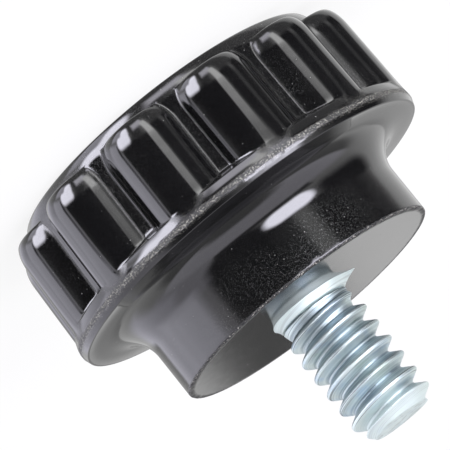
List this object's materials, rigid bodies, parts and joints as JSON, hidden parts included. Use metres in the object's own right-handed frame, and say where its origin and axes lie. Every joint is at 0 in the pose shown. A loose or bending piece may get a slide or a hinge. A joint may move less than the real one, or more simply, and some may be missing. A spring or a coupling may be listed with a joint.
{
  "type": "ribbed knob with threaded stud",
  "caption": "Black glossy moulded hand knob with rounded grip ribs, a flange and a plain hub, on a zinc-plated steel stud with a coarse right-hand thread.",
  "frame": {"origin": "centre of the flat top face, on which the knob stands head down", "axes": "+Z along the stud, from the top face to the tip of the stud; a grip rib lies on +X"},
  "size_m": [0.0222, 0.0222, 0.0201],
  "materials": {
    "black_moulding": "high gloss black phenolic resin, with a dull ground strip at the parting line",
    "zinc_plating": "bright bluish zinc plating on a rolled thread"
  },
  "bodies": {
    "root": {"knob_body": "black_moulding", "threaded_stud": "zinc_plating"}
  },
  "joints": []
}
